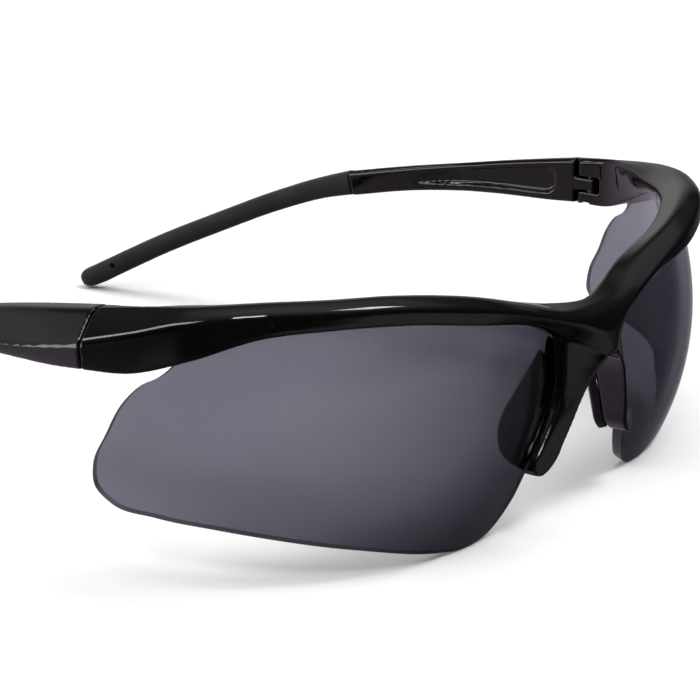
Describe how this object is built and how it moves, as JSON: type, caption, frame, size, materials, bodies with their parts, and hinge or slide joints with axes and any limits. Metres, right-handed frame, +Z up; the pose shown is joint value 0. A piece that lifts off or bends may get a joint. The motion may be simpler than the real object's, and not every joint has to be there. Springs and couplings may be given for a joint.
{
  "type": "safety glasses",
  "caption": "Wrap-around half-rim safety glasses with separate smoke-tinted lenses, soft nose pads and folding temples with rubber sleeves.",
  "frame": {"origin": "on the surface that the open glasses stand on, below the middle of their box", "axes": "+Z up, -Y forward (the way the wearer looks), +X to the wearer's left"},
  "size_m": [0.1414, 0.1648, 0.0438],
  "materials": {
    "front_black": "polished black polycarbonate",
    "temple_black": "polished black polycarbonate",
    "lens_smoke": "smoke-grey tinted clear polycarbonate",
    "pad_rubber": "satin soft rubber",
    "sleeve_rubber": "matt rubber",
    "screw_steel": "plain steel"
  },
  "bodies": {
    "front": {"front_frame": "front_black", "lens_left": "lens_smoke", "lens_right": "lens_smoke", "nose_pad_left": "pad_rubber", "nose_pad_right": "pad_rubber", "hinge_screw_left": "screw_steel", "hinge_screw_right": "screw_steel"},
    "temple_left": {"temple_left": "temple_black", "temple_sleeve_left": "sleeve_rubber"},
    "temple_right": {"temple_right": "temple_black", "temple_sleeve_right": "sleeve_rubber"}
  },
  "joints": [
    {"name": "temple_left_hinge", "type": "hinge", "parent": "front", "child": "temple_left", "pos_m": [0.066, -0.03793, 0.0366], "axis": [0, 0, 1], "range_deg": [0, 90]},
    {"name": "temple_right_hinge", "type": "hinge", "parent": "front", "child": "temple_right", "pos_m": [-0.066, -0.03793, 0.0366], "axis": [0, 0, -1], "range_deg": [0, 83]}
  ]
}
